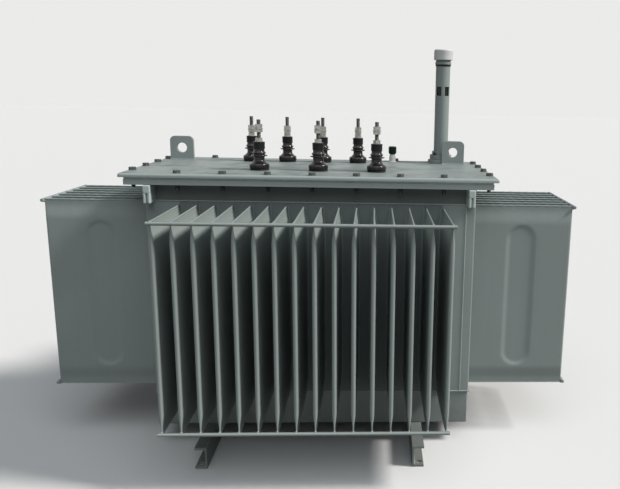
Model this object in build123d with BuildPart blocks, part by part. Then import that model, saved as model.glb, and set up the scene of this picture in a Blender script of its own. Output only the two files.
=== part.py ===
"""Oil-filled isolation transformer with a corrugated tank, standing on two steel channels.

X runs along the tank, Y from front (-) to back (+), Z up. The origin lies on the ground,
under the middle of the tank. All sizes are in millimetres.
"""

import os

from build123d import *

os.makedirs("parts", exist_ok=True)

# Skids: two rolled steel channels lying front to back, open towards -X
SKID_HEIGHT = 65.0
SKID_WIDTH = 34.0
SKID_WEB = 5.5
SKID_FLANGE = 7.0
SKID_ROOT_RADIUS = 6.0
SKID_LENGTH = 740.0
SKID_SPACING = 620.0
SLOT_WIDTH = 14.0
SLOT_LENGTH = 20.0
SLOT_SPACING_Y = 700.0

# Tank: a plain lower box, a body that the finned walls close in, and a plain collar
TANK_LENGTH = 942.0
TANK_DEPTH = 440.0
BASE_HEIGHT = 105.0
BASE_INSET = 2.0
WALL_SHEET = 3.0
WALL_MARGIN = 10.0
COLLAR_HEIGHT = 48.0
CORNER_LEG = 28.0
CORNER_RADIUS = 4.0

# Cooling fins pressed out of the walls, pinched flat and welded shut at both ends
FIN_HEIGHT = 570.0
FIN_PITCH = 50.0
FIN_THICKNESS = 12.0
FIN_NOSE_BEVEL = 3.5
PINCH_THICKNESS = 3.0
PINCH_BAND = 24.0
PINCH_FLARE = 60.0
LONG_WALL_FIN_COUNT = 16
LONG_WALL_FIN_DEPTH = 278.0
END_WALL_FIN_COUNT = 7
END_WALL_FIN_DEPTH = 307.0
EMBOSS_WIDTH = 95.0
EMBOSS_HEIGHT = 455.0
EMBOSS_DEPTH = 2.5

# Tie bars welded across the outer corners of the fins
BAR_DIAMETER = 10.0
BAR_OVERHANG = 3.0
BAR_DROP = 4.0

# Cover, gasket and rim, each set in a little from the one above
COVER_END_OVERHANG = 60.0
COVER_SIDE_OVERHANG = 40.0
COVER_THICKNESS = 12.0
COVER_BEVEL = 3.0
COVER_CORNER_RADIUS = 6.0
GASKET_SETBACK = 2.0
GASKET_THICKNESS = 5.0
RIM_END_INSET = 14.0
RIM_SIDE_INSET = 4.0
RIM_LAP = 26.0
RIM_THICKNESS = 16.0

# Lifting lugs on the cover and lifting ears on the collar
LUG_WIDTH = 76.0
LUG_HEIGHT = 78.0
LUG_THICKNESS = 12.0
LUG_CORNER_RADIUS = 16.0
LUG_HOLE = 32.0
LUG_HOLE_HEIGHT = 40.0
LEFT_LUG_END_DISTANCE = 71.0
RIGHT_LUG_END_DISTANCE = 91.0
LUG_EDGE_DISTANCE = 106.0
EAR_THICKNESS = 20.0
EAR_REACH = 42.0
EAR_HEIGHT = 52.0
EAR_ROUNDING = 25.0
EAR_CORNER_DISTANCE = 17.0

# Bushings: three in front, four behind, each with a cap and a threaded stud
FOOT_DIAMETER = 58.0
FOOT_HEIGHT = 18.0
DOME_HEIGHT = 12.0
NECK_DIAMETER = 31.0
SHED_DIAMETER = 48.0
SHED_THICKNESS = 3.0
SHED_LEVEL = 42.5
INSULATOR_HEIGHT = 62.0
CAP_DIAMETER = 35.0
CAP_HEIGHT = 21.0
STUD_DIAMETER = 12.0
STUD_HEIGHT = 64.0
FRONT_BUSHING_COUNT = 3
FRONT_BUSHING_SPACING = 173.0
FRONT_BUSHING_SHIFT = 8.0
FRONT_BUSHING_EDGE_DISTANCE = 138.0
BACK_BUSHING_COUNT = 4
BACK_BUSHING_SPACING = 117.0
BACK_BUSHING_SHIFT = -56.0
BACK_BUSHING_EDGE_DISTANCE = 110.0

# Filler pipe with its flanges, level windows, neck and cap
FILLER_END_DISTANCE = 128.0
FILLER_EDGE_DISTANCE = 60.0
FILLER_FLANGE_DIAMETER = 74.0
FILLER_FLANGE_THICKNESS = 14.0
FILLER_COLLAR_DIAMETER = 60.0
FILLER_COLLAR_HEIGHT = 12.0
FILLER_DIAMETER = 48.3
FILLER_WALL = 3.0
FILLER_HEIGHT = 324.0
GLASS_CLEARANCE = 0.5
WINDOW_COUNT = 5
WINDOW_WIDTH = 18.0
WINDOW_HEIGHT = 30.0
WINDOW_LEVEL = 242.0
SEAL_RING_DIAMETER = 52.0
SEAL_RING_THICKNESS = 5.0
FILLER_NECK_DIAMETER = 54.0
FILLER_NECK_HEIGHT = 15.0
FILLER_CAP_DIAMETER = 64.0
FILLER_CAP_HEIGHT = 35.0

# Thermometer pocket with its knob
POCKET_END_DISTANCE = 294.0
POCKET_EDGE_DISTANCE = 52.0
POCKET_STEM_DIAMETER = 22.0
POCKET_STEM_HEIGHT = 26.0
POCKET_KNOB_DIAMETER = 27.0
POCKET_KNOB_HEIGHT = 27.0

# Heights worked out from the sizes above
BASE_TOP = SKID_HEIGHT + BASE_HEIGHT
FIN_MIDDLE = BASE_TOP + FIN_HEIGHT / 2
WALL_HEIGHT = FIN_HEIGHT + WALL_MARGIN
WALL_TOP = BASE_TOP + WALL_HEIGHT
COLLAR_TOP = WALL_TOP + COLLAR_HEIGHT
RIM_TOP = COLLAR_TOP + RIM_THICKNESS
GASKET_TOP = RIM_TOP + GASKET_THICKNESS
COVER_TOP = GASKET_TOP + COVER_THICKNESS
TERMINAL_SEAT = COVER_TOP + INSULATOR_HEIGHT
PIPE_FOOT = COVER_TOP + FILLER_FLANGE_THICKNESS
PIPE_TOP = COVER_TOP + FILLER_HEIGHT
NECK_FOOT = PIPE_TOP + SEAL_RING_THICKNESS
FILLER_CAP_FOOT = NECK_FOOT + FILLER_NECK_HEIGHT
KNOB_FOOT = COVER_TOP + POCKET_STEM_HEIGHT
SHED_BOTTOM = SHED_LEVEL - SHED_THICKNESS / 2
SHED_TOP = SHED_LEVEL + SHED_THICKNESS / 2

# Outline of the cover, and the places measured from its ends and long edges
COVER_LENGTH = TANK_LENGTH + 2 * COVER_END_OVERHANG
COVER_DEPTH = TANK_DEPTH + 2 * COVER_SIDE_OVERHANG
COVER_END = COVER_LENGTH / 2
COVER_EDGE = COVER_DEPTH / 2
LUG_Y = COVER_EDGE - LUG_EDGE_DISTANCE
EAR_X = TANK_LENGTH / 2 - EAR_CORNER_DISTANCE
FILLER_PLACE = (COVER_END - FILLER_END_DISTANCE, COVER_EDGE - FILLER_EDGE_DISTANCE)
POCKET_PLACE = (COVER_END - POCKET_END_DISTANCE, COVER_EDGE - POCKET_EDGE_DISTANCE)


def save(part, name):
    """Label a finished piece and write it to its own file."""
    part.label = name
    export_step(part, f"parts/{name}.step")


def channel_skid(side):
    """Rolled channel, web on its inner side, with a slotted hole near each end of its lower flange."""
    x = side * SKID_SPACING / 2
    section = Plane.XZ.offset(-SKID_LENGTH / 2)
    with BuildPart() as skid:
        with BuildSketch(section) as profile:
            with Locations((x, SKID_HEIGHT / 2)):
                Rectangle(SKID_WIDTH, SKID_HEIGHT)
            with Locations((x + side * SKID_WEB, SKID_HEIGHT / 2)):
                Rectangle(SKID_WIDTH, SKID_HEIGHT - 2 * SKID_FLANGE, mode=Mode.SUBTRACT)
            inner = profile.vertices().group_by(Axis.X)[1 if side > 0 else -2]
            fillet(inner, SKID_ROOT_RADIUS)
        extrude(amount=SKID_LENGTH)
        with BuildSketch(Plane.XY):
            with Locations((x + side * SKID_WEB / 2, 0)):
                with GridLocations(0, SLOT_SPACING_Y, 1, 2):
                    SlotOverall(SLOT_LENGTH, SLOT_WIDTH)
        extrude(amount=SKID_FLANGE, mode=Mode.SUBTRACT)
    return skid.part


def fin(depth):
    """One pressed fin standing up from its wall, thin at its two welded ends."""
    half_height = FIN_HEIGHT / 2
    half = FIN_THICKNESS / 2
    thin = PINCH_THICKNESS / 2
    band = half_height - PINCH_BAND
    flare = band - PINCH_FLARE
    with BuildPart() as blade:
        with BuildSketch(Plane.XY):
            with BuildLine():
                Polyline((0, half_height), (thin, half_height), (thin, band), (half, flare), (half, 0))
                mirror(about=Plane.XZ)
                mirror(about=Plane.YZ)
            make_face()
        extrude(amount=depth)
        with BuildSketch(Plane.XZ) as nose:
            with Locations((0, depth / 2)):
                Rectangle(FIN_THICKNESS, depth)
            chamfer(nose.vertices().group_by(Axis.Y)[-1], FIN_NOSE_BEVEL)
        extrude(amount=half_height, both=True, mode=Mode.INTERSECT)
    return blade.part


def finned_wall(plane, width, count, depth, embossed):
    """Wall sheet with its row of fins, standing out from the given plane at the fins' middle."""
    blade = fin(depth)
    outer_side = ((count - 1) * FIN_PITCH + FIN_THICKNESS) / 2
    with BuildPart() as wall:
        with BuildSketch(Plane.XY):
            with Locations((0, WALL_MARGIN / 2)):
                Rectangle(width, WALL_HEIGHT)
        extrude(amount=WALL_SHEET)
        with GridLocations(FIN_PITCH, 1, count, 1):
            add(blade)
        if embossed:
            for side in (Plane.YZ.offset(outer_side), -Plane.YZ.offset(-outer_side)):
                with BuildSketch(side):
                    with Locations((0, depth / 2)):
                        SlotOverall(EMBOSS_HEIGHT, EMBOSS_WIDTH)
                extrude(amount=-EMBOSS_DEPTH, mode=Mode.SUBTRACT)
    return wall.part.moved(plane.location)


def tie_bars(plane, count, reach):
    """Two round bars across the upper and lower outer corners of a row of fins."""
    length = (count - 1) * FIN_PITCH + FIN_THICKNESS + 2 * BAR_OVERHANG
    level = FIN_HEIGHT / 2 - BAR_DROP
    side = plane.offset(reach + BAR_DIAMETER / 2)
    with BuildPart(side) as bars:
        with Locations((0, level), (0, -level)):
            Cylinder(BAR_DIAMETER / 2, length, rotation=(0, 90, 0))
    return bars.part


def corner_post(x_side, y_side):
    """Angle section that closes one upright corner between two finned walls."""
    x_edge = x_side * TANK_LENGTH / 2
    y_edge = y_side * TANK_DEPTH / 2
    with BuildPart() as post:
        with BuildSketch(Plane.XY.offset(BASE_TOP)) as section:
            with Locations((x_edge - x_side * CORNER_LEG / 2, y_edge - y_side * CORNER_LEG / 2)):
                Rectangle(CORNER_LEG, CORNER_LEG)
            outer = section.vertices().sort_by_distance((x_edge, y_edge, BASE_TOP))[0]
            fillet(outer, CORNER_RADIUS)
            inner = CORNER_LEG / 2 + WALL_SHEET
            with Locations((x_edge - x_side * inner, y_edge - y_side * inner)):
                Rectangle(CORNER_LEG, CORNER_LEG, mode=Mode.SUBTRACT)
        extrude(amount=WALL_HEIGHT)
    return post.part


def sealing_ring(setback, bottom, thickness):
    """Flat frame under the cover, set back from the rim's edge and lapping over the collar."""
    length = COVER_LENGTH - 2 * (RIM_END_INSET + setback)
    depth = COVER_DEPTH - 2 * (RIM_SIDE_INSET + setback)
    with BuildPart() as ring:
        with BuildSketch(Plane.XY.offset(bottom)):
            Rectangle(length, depth)
            Rectangle(TANK_LENGTH - 2 * RIM_LAP, TANK_DEPTH - 2 * RIM_LAP, mode=Mode.SUBTRACT)
        extrude(amount=thickness)
    return ring.part


def cover_lug(x):
    """Upright plate with two rounded corners and a shackle hole."""
    face = Plane(origin=(x, LUG_Y, COVER_TOP), x_dir=(1, 0, 0), z_dir=(0, -1, 0))
    with BuildPart() as lug:
        with BuildSketch(face) as outline:
            with Locations((0, LUG_HEIGHT / 2)):
                Rectangle(LUG_WIDTH, LUG_HEIGHT)
            fillet(outline.vertices().group_by(Axis.Y)[-1], LUG_CORNER_RADIUS)
            with Locations((0, LUG_HOLE_HEIGHT)):
                Circle(LUG_HOLE / 2, mode=Mode.SUBTRACT)
        extrude(amount=LUG_THICKNESS / 2, both=True)
    return lug.part


def lifting_ear(x_side, y_side):
    """Thick round-nosed plate standing out from the collar, right under the rim."""
    side = Plane(origin=(x_side * EAR_X, 0, 0), x_dir=(0, y_side, 0), z_dir=(y_side, 0, 0))
    middle = (TANK_DEPTH / 2 + EAR_REACH / 2, COLLAR_TOP - EAR_HEIGHT / 2)
    with BuildPart() as ear:
        with BuildSketch(side) as outline:
            with Locations(middle):
                Rectangle(EAR_REACH, EAR_HEIGHT)
            fillet(outline.vertices().group_by(Axis.X)[-1], EAR_ROUNDING)
        extrude(amount=EAR_THICKNESS / 2, both=True)
    return ear.part


def insulator():
    """Glazed porcelain: a drum foot under a domed shoulder, and a neck with one thin shed."""
    foot = FOOT_DIAMETER / 2
    neck = NECK_DIAMETER / 2
    shed = SHED_DIAMETER / 2
    with BuildPart() as body:
        with BuildSketch(Plane.XZ):
            with BuildLine():
                Polyline(
                    (0, 0),
                    (foot, 0),
                    (foot, FOOT_HEIGHT),
                    (neck, FOOT_HEIGHT + DOME_HEIGHT),
                    (neck, SHED_BOTTOM),
                    (shed, SHED_BOTTOM),
                    (shed, SHED_TOP),
                    (neck, SHED_TOP),
                    (neck, INSULATOR_HEIGHT),
                    (0, INSULATOR_HEIGHT),
                    (0, 0),
                )
            make_face()
        revolve(axis=Axis.Z)
    return body.part


def terminal():
    """Cap that closes the insulator, with the stud that the lead is bolted to."""
    with BuildPart() as top:
        for diameter, height in ((CAP_DIAMETER, CAP_HEIGHT), (STUD_DIAMETER, CAP_HEIGHT + STUD_HEIGHT)):
            with BuildSketch(Plane.XY):
                Circle(diameter / 2)
            extrude(amount=height)
    return top.part


def row_of(piece, places, bottom):
    """Copies of a piece standing at the given places of a row."""
    with BuildPart() as row:
        with Locations(*[(x, y, bottom) for x, y in places]):
            add(piece)
    return row.part


def bushing_places(count, spacing, shift, y):
    """Centres of one row of bushings along the cover."""
    return [(shift + (i - (count - 1) / 2) * spacing, y) for i in range(count)]


def upright_cylinder(place, diameter, bottom, height):
    """Round piece standing at the given place."""
    with BuildPart() as post:
        with BuildSketch(Plane.XY.offset(bottom)):
            with Locations(place):
                Circle(diameter / 2)
        extrude(amount=height)
    return post.part


def filler_pipe():
    """Pipe with a bolted flange and a collar at its foot, and level windows near its top."""
    bore = FILLER_DIAMETER - 2 * FILLER_WALL
    collar_foot = PIPE_FOOT + FILLER_FLANGE_THICKNESS
    discs = (
        (FILLER_FLANGE_DIAMETER, PIPE_FOOT, FILLER_FLANGE_THICKNESS),
        (FILLER_COLLAR_DIAMETER, collar_foot, FILLER_COLLAR_HEIGHT),
        (FILLER_DIAMETER, PIPE_FOOT, PIPE_TOP - PIPE_FOOT),
    )
    with BuildPart() as pipe:
        for diameter, bottom, height in discs:
            with BuildSketch(Plane.XY.offset(bottom)):
                Circle(diameter / 2)
            extrude(amount=height)
        with BuildSketch(Plane.XY.offset(PIPE_FOOT)):
            Circle(bore / 2)
        extrude(amount=PIPE_TOP - PIPE_FOOT, mode=Mode.SUBTRACT)
        with Locations((0, 0, COVER_TOP + WINDOW_LEVEL)):
            with PolarLocations(FILLER_DIAMETER / 2, WINDOW_COUNT, start_angle=90):
                Box(4 * FILLER_WALL, WINDOW_WIDTH, WINDOW_HEIGHT, mode=Mode.SUBTRACT)
    return pipe.part.moved(Location((*FILLER_PLACE, 0)))


# Tank box
with BuildPart() as tank_base:
    with BuildSketch(Plane.XY.offset(SKID_HEIGHT)):
        Rectangle(TANK_LENGTH - 2 * BASE_INSET, TANK_DEPTH - 2 * BASE_INSET)
    extrude(amount=BASE_HEIGHT)
save(tank_base.part, "tank_base")

with BuildPart() as tank_body:
    with BuildSketch(Plane.XY.offset(BASE_TOP)):
        Rectangle(TANK_LENGTH - 2 * WALL_SHEET, TANK_DEPTH - 2 * WALL_SHEET)
    extrude(amount=WALL_HEIGHT)
save(tank_body.part, "tank_body")

with BuildPart() as tank_collar:
    with BuildSketch(Plane.XY.offset(WALL_TOP)):
        Rectangle(TANK_LENGTH, TANK_DEPTH)
    extrude(amount=COLLAR_HEIGHT)
save(tank_collar.part, "tank_collar")

# Finned walls and their tie bars
long_wall = TANK_LENGTH - 2 * CORNER_LEG
end_wall = TANK_DEPTH - 2 * CORNER_LEG
long_face = TANK_DEPTH / 2 - WALL_SHEET
end_face = TANK_LENGTH / 2 - WALL_SHEET
walls = {
    "front": ((0, -1), long_face, long_wall, LONG_WALL_FIN_COUNT, LONG_WALL_FIN_DEPTH, False),
    "back": ((0, 1), long_face, long_wall, LONG_WALL_FIN_COUNT, LONG_WALL_FIN_DEPTH, False),
    "left": ((-1, 0), end_face, end_wall, END_WALL_FIN_COUNT, END_WALL_FIN_DEPTH, True),
    "right": ((1, 0), end_face, end_wall, END_WALL_FIN_COUNT, END_WALL_FIN_DEPTH, True),
}
for name, ((nx, ny), distance, width, count, depth, embossed) in walls.items():
    plane = Plane(
        origin=(nx * distance, ny * distance, FIN_MIDDLE), x_dir=(-ny, nx, 0), z_dir=(nx, ny, 0)
    )
    reach = depth + WALL_SHEET
    save(finned_wall(plane, width, count, reach, embossed), f"{name}_finned_wall")
    save(tie_bars(plane, count, reach), f"{name}_tie_bars")

for y_name, y_side in (("front", -1), ("back", 1)):
    for x_name, x_side in (("left", -1), ("right", 1)):
        save(corner_post(x_side, y_side), f"{y_name}_{x_name}_corner_post")
        save(lifting_ear(x_side, y_side), f"{y_name}_{x_name}_lifting_ear")

# Skids
save(channel_skid(-1), "left_skid")
save(channel_skid(1), "right_skid")

# Rim, gasket and cover
save(sealing_ring(0, COLLAR_TOP, RIM_THICKNESS), "rim_flange")
save(sealing_ring(GASKET_SETBACK, RIM_TOP, GASKET_THICKNESS), "cover_gasket")

with BuildPart() as cover_plate:
    with BuildSketch(Plane.XY.offset(GASKET_TOP)):
        RectangleRounded(COVER_LENGTH, COVER_DEPTH, COVER_CORNER_RADIUS)
    extrude(amount=COVER_THICKNESS)
    chamfer(cover_plate.faces().sort_by(Axis.Z)[-1].edges(), COVER_BEVEL)
save(cover_plate.part, "cover_plate")
save(cover_lug(LEFT_LUG_END_DISTANCE - COVER_END), "left_cover_lug")
save(cover_lug(COVER_END - RIGHT_LUG_END_DISTANCE), "right_cover_lug")

# Bushings
front_row = bushing_places(
    FRONT_BUSHING_COUNT,
    FRONT_BUSHING_SPACING,
    FRONT_BUSHING_SHIFT,
    FRONT_BUSHING_EDGE_DISTANCE - COVER_EDGE,
)
back_row = bushing_places(
    BACK_BUSHING_COUNT,
    BACK_BUSHING_SPACING,
    BACK_BUSHING_SHIFT,
    COVER_EDGE - BACK_BUSHING_EDGE_DISTANCE,
)
for name, places in (("front", front_row), ("back", back_row)):
    save(row_of(insulator(), places, COVER_TOP), f"{name}_insulators")
    save(row_of(terminal(), places, TERMINAL_SEAT), f"{name}_terminals")

# Filler pipe, from the cover upwards
glass_diameter = FILLER_DIAMETER - 2 * (FILLER_WALL + GLASS_CLEARANCE)
round_pieces = {
    "filler_flange": (FILLER_FLANGE_DIAMETER, COVER_TOP, FILLER_FLANGE_THICKNESS),
    "filler_level_glass": (glass_diameter, PIPE_FOOT, PIPE_TOP - PIPE_FOOT),
    "filler_seal_ring": (SEAL_RING_DIAMETER, PIPE_TOP, SEAL_RING_THICKNESS),
    "filler_neck": (FILLER_NECK_DIAMETER, NECK_FOOT, FILLER_NECK_HEIGHT),
    "filler_cap": (FILLER_CAP_DIAMETER, FILLER_CAP_FOOT, FILLER_CAP_HEIGHT),
}
for name, (diameter, bottom, height) in round_pieces.items():
    save(upright_cylinder(FILLER_PLACE, diameter, bottom, height), name)
save(filler_pipe(), "filler_pipe")

# Thermometer pocket and its knob
pocket = upright_cylinder(POCKET_PLACE, POCKET_STEM_DIAMETER, COVER_TOP, POCKET_STEM_HEIGHT)
save(pocket, "thermometer_pocket")
knob = upright_cylinder(POCKET_PLACE, POCKET_KNOB_DIAMETER, KNOB_FOOT, POCKET_KNOB_HEIGHT)
save(knob, "thermometer_knob")
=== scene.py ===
"""Finish and fine detail of an oil-filled isolation transformer, built round its packed frame.

X runs along the tank, Y from front (-) to back (+), Z up, all in metres. Each operator makes one
group of like pieces: their surfaces are worked out as whole arrays, and their places come from the
boxes of the frame's nodes.
"""

import math

import bmesh
import bpy
import numpy as np
from bpy.props import FloatProperty, FloatVectorProperty, IntProperty, PointerProperty
from mathutils import Matrix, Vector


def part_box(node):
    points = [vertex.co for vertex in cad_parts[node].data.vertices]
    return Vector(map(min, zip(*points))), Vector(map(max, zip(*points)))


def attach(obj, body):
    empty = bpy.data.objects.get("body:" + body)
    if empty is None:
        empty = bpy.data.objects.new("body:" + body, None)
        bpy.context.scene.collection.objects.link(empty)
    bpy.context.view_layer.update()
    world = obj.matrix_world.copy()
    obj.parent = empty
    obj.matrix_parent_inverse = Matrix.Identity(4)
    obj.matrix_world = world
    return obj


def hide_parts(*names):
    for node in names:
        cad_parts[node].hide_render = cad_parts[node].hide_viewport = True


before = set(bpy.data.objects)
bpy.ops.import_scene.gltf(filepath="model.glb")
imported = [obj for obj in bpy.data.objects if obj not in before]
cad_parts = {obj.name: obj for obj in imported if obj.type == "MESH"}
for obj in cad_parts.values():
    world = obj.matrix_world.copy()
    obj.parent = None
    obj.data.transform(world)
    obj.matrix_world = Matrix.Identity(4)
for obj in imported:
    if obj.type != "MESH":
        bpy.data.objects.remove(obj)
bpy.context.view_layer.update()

bl_info = {
    "name": "Oil-filled transformer finish",
    "version": (1, 0, 0),
    "blender": (4, 5, 0),
    "location": "3D View > Sidebar > Transformer",
    "description": "Builds the fins, bushings, fittings, welds and paint of a tank transformer",
    "category": "Object",
}

MM = 0.001
TURN = 2 * math.pi
ORIGIN = (0, 0, 0)


# Settings

def length(name, size, description):
    """Length setting, with its size in millimetres."""
    return FloatProperty(name=name, description=description, default=size * MM, unit="LENGTH")


def degrees(name, size, description):
    """Angle setting, in degrees."""
    return FloatProperty(
        name=name, description=description, default=math.radians(size), unit="ROTATION")


def hue(name, colour, description):
    """Colour setting."""
    return FloatVectorProperty(name=name, description=description, default=colour, subtype="COLOR")


class FinSettings(bpy.types.PropertyGroup):
    """Pressed cooling fins and the round bars that tie them"""

    pitch: length("Pitch", 50, "Distance between two fins")
    thickness: length("Thickness", 12, "Thickness of a fin at mid height")
    pinch: length("Pinch", 3, "Thickness at the two welded ends")
    band: length("Band", 12, "Height of the flat welded end")
    flare: length("Flare", 46, "Height over which a fin swells")
    fold: length("Fold", 5, "Radius of the fold at the wall")
    sheet: length("Sheet", 3, "Thickness of the wall sheet")
    margin: length("Margin", 10, "Plain sheet above the fins")
    bead: length("Bead", 2.4, "Radius of the weld along a fin's end")
    emboss_width: length("Emboss width", 95, "Width of the pressed panel")
    emboss_height: length("Emboss height", 455, "Height of the pressed panel")
    emboss_depth: length("Emboss depth", 3.4, "Depth of the pressed panel")
    emboss_flank: length("Emboss flank", 15, "Width of its sloping edge")
    bar: length("Bar", 10, "Diameter of a tie bar")


class FastenerSettings(bpy.types.PropertyGroup):
    """Cover bolts, studs and nuts"""

    front_spacing: length("Long side spacing", 124.5, "Between bolts along the cover")
    front_count: IntProperty(
        name="Long side count", description="Bolts along each long side", default=7)
    end_spacing: length("End spacing", 120, "Between bolts on the cover's ends")
    end_count: IntProperty(name="End count", description="Bolts on each end", default=4)
    edge: length("Edge distance", 17, "From the cover's edge to a bolt")
    bolt: length("Bolt", 12, "Diameter of a cover bolt")
    head_width: length("Head width", 18, "Across the flats of a bolt head")
    head_height: length("Head height", 7, "Height of a bolt head")
    tail: length("Tail", 15, "Bolt end standing below the rim")
    thread_pitch: length("Thread pitch", 1.75, "Pitch of the threads")
    thread_depth: length("Thread depth", 0.8, "Depth of the threads")


class BushingSettings(bpy.types.PropertyGroup):
    """Porcelain bushings and the fittings on their studs"""

    foot: length("Foot", 58, "Diameter of the porcelain foot")
    neck: length("Neck", 31, "Diameter of the porcelain neck")
    shed: length("Shed", 48, "Diameter of the thin shed")
    ring: length("Ring", 39, "Diameter of the upper ring")
    gasket: length("Gasket", 4, "Thickness of the gasket under the foot")
    cap: length("Cap", 35, "Diameter of the black cap")
    cap_height: length("Cap height", 21, "Height of the black cap")
    stud: length("Stud", 12, "Diameter of the stud")
    nut_width: length("Nut width", 19, "Across the flats of a nut")
    nut_height: length("Nut height", 9.5, "Height of a nut")


class FinishSettings(bpy.types.PropertyGroup):
    """Colours of the finishes"""

    paint: hue("Paint", (0.274, 0.310, 0.300), "Grey enamel")
    dust: hue("Dust", (0.105, 0.121, 0.123), "Dust lying on the paint")
    soil: hue("Soil", (0.145, 0.145, 0.125), "Dirt near the ground")
    glaze: hue("Glaze", (0.009, 0.0075, 0.009), "Brown porcelain glaze")
    plating: hue("Plating", (0.41, 0.40, 0.375), "Zinc-plated steel")
    white: hue("White", (0.62, 0.61, 0.60), "White moulded cap")


class StageSettings(bpy.types.PropertyGroup):
    """Camera, lamps and floor"""

    focal: FloatProperty(
        name="Focal length", description="In pixels of the picture's width", default=700.0)
    centre_x: FloatProperty(
        name="Centre X", description="Principal point across the picture, in pixels", default=417.9)
    centre_y: FloatProperty(
        name="Centre Y", description="Principal point down the picture, in pixels", default=246.6)
    yaw: degrees("Yaw", -3.8, "Turn about Z")
    pitch: degrees("Pitch", -12.2, "Tilt upwards")
    roll: degrees("Roll", -1.4, "Turn about the line of sight")
    stand: FloatVectorProperty(
        name="Stand", description="Place of the camera", default=(0.1714, -2.2240, 1.0583),
        subtype="TRANSLATION")
    floor: hue("Floor", (0.627, 0.619, 0.622), "Pale floor")


IMAGE_WIDTH = 620
IMAGE_HEIGHT = 489
SENSOR_WIDTH = 36.0


def settings(name):
    """One group of this script's settings on the scene."""
    return getattr(bpy.context.scene, f"transformer_{name}")


def node_box(*names):
    """Lowest and highest corner of several nodes together, as arrays."""
    boxes = [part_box(name) for name in names]
    low = np.min([np.array(box[0]) for box in boxes], axis=0)
    high = np.max([np.array(box[1]) for box in boxes], axis=0)
    return low, high


# Surfaces worked out as arrays

class Shell:
    """Vertices and faces of one piece, gathered surface by surface."""

    def __init__(self):
        self.points = []
        self.faces = []
        self.count = 0

    def grid(self, points, ring=False, capped=False):
        """Quads between the rows of an (n, m, 3) array of points.

        ring joins the last column to the first; capped closes the first and the last row. Rows that
        go up, with columns anticlockwise seen from above, give faces that point outwards.
        """
        rows, columns = points.shape[:2]
        index = np.arange(rows * columns).reshape(rows, columns) + self.count
        if ring:
            index = np.concatenate([index, index[:, :1]], axis=1)
        quads = np.stack([index[:-1, :-1], index[:-1, 1:], index[1:, 1:], index[1:, :-1]], axis=-1)
        self.faces += quads.reshape(-1, 4).tolist()
        if capped:
            self.faces.append(index[0, :columns][::-1].tolist())
            self.faces.append(index[-1, :columns].tolist())
        self.points.append(points.reshape(-1, 3))
        self.count += rows * columns

    def copies(self, other, places=(ORIGIN,), angles=None):
        """Copies of another shell, each turned about Z by its angle and moved to its place."""
        points = np.concatenate(other.points)
        angles = np.zeros(len(places)) if angles is None else np.asarray(angles, float)
        for place, angle in zip(places, angles):
            c, s = math.cos(angle), math.sin(angle)
            turn = np.array([[c, s, 0], [-s, c, 0], [0, 0, 1]])
            self.points.append(points @ turn + np.asarray(place, float))
            self.faces += [[i + self.count for i in face] for face in other.faces]
            self.count += len(points)

    def bead(self, start, end, radius, step, ripple, ripple_length):
        """Straight weld bead between two points."""
        self.copies(tube(line(start, end, step), radius, 8, ripple, ripple_length))

    def beads_round(self, low, high, level, *sizes):
        """Four weld beads round a rectangle, given by two corners, at one level."""
        corners = [(low[0], low[1]), (high[0], low[1]), (high[0], high[1]), (low[0], high[1])]
        for start, end in zip(corners, corners[1:] + corners[:1]):
            self.bead((*start, level), (*end, level), *sizes)

    def row(self, places, angles=None):
        """New shell of this one's copies."""
        shell = Shell()
        shell.copies(self, places, angles)
        return shell

    def piece(self, name, coat, replaces=(), smooth=32.0, slot=None):
        """Mesh object of the gathered surfaces, riding on the frame's root."""
        mesh = bpy.data.meshes.new(name)
        mesh.from_pydata(np.concatenate(self.points).tolist(), [], self.faces)
        return finish_piece(mesh, name, coat, replaces, smooth, slot)


def finish_piece(mesh, name, coat, replaces, smooth, slot=None):
    """Object of a mesh, shaded smooth up to an angle, with its finish, body and slot."""
    slot = slot or SLOTS.get(coat, "grey_enamel")
    mesh.materials.append(finish(coat))
    mesh.shade_smooth()
    mesh.set_sharp_from_angle(angle=math.radians(smooth))
    piece = bpy.data.objects.new(name, mesh)
    bpy.context.scene.collection.objects.link(piece)
    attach(piece, "root")
    if replaces:
        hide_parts(*replaces)
    return piece


def smoothstep(value):
    """3 t squared - 2 t cubed, with t kept between 0 and 1."""
    t = np.clip(value, 0, 1)
    return t * t * (3 - 2 * t)


def arc(centre, radius, start, end, count):
    """Points (r, z) on an arc about a centre, from one angle to another in degrees."""
    angle = np.radians(np.linspace(start, end, count))
    return np.asarray(centre) + radius * np.stack([np.cos(angle), np.sin(angle)], axis=1)


def round_angles(columns):
    """Evenly spaced angles round a circle."""
    return np.arange(columns) / columns * TURN


def revolved(reach, level, centre=ORIGIN):
    """Closed body about an upright axis, from its radius and height at each row and angle."""
    around = round_angles(reach.shape[1])
    shell = Shell()
    points = np.stack([
        centre[0] + reach * np.cos(around),
        centre[1] + reach * np.sin(around),
        centre[2] + np.broadcast_to(level, reach.shape),
    ], axis=-1)
    shell.grid(points, ring=True, capped=True)
    return shell


def turned(profile, centre=ORIGIN, segments=48):
    """Body turned about an upright axis: r and z of the profile carried round the circle."""
    profile = np.asarray(profile, float)
    return revolved(np.repeat(profile[:, :1], segments, axis=1), profile[:, 1:], centre)


def rounded_disc(radius, bottom, height, edge, steps=4):
    """Profile of a disc whose two rims are quarter circles of the given edge radius."""
    low = arc((radius - edge, bottom + edge), edge, -90, 0, steps)
    high = arc((radius - edge, bottom + height - edge), edge, 0, 90, steps)
    return np.concatenate([low, high])


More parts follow.
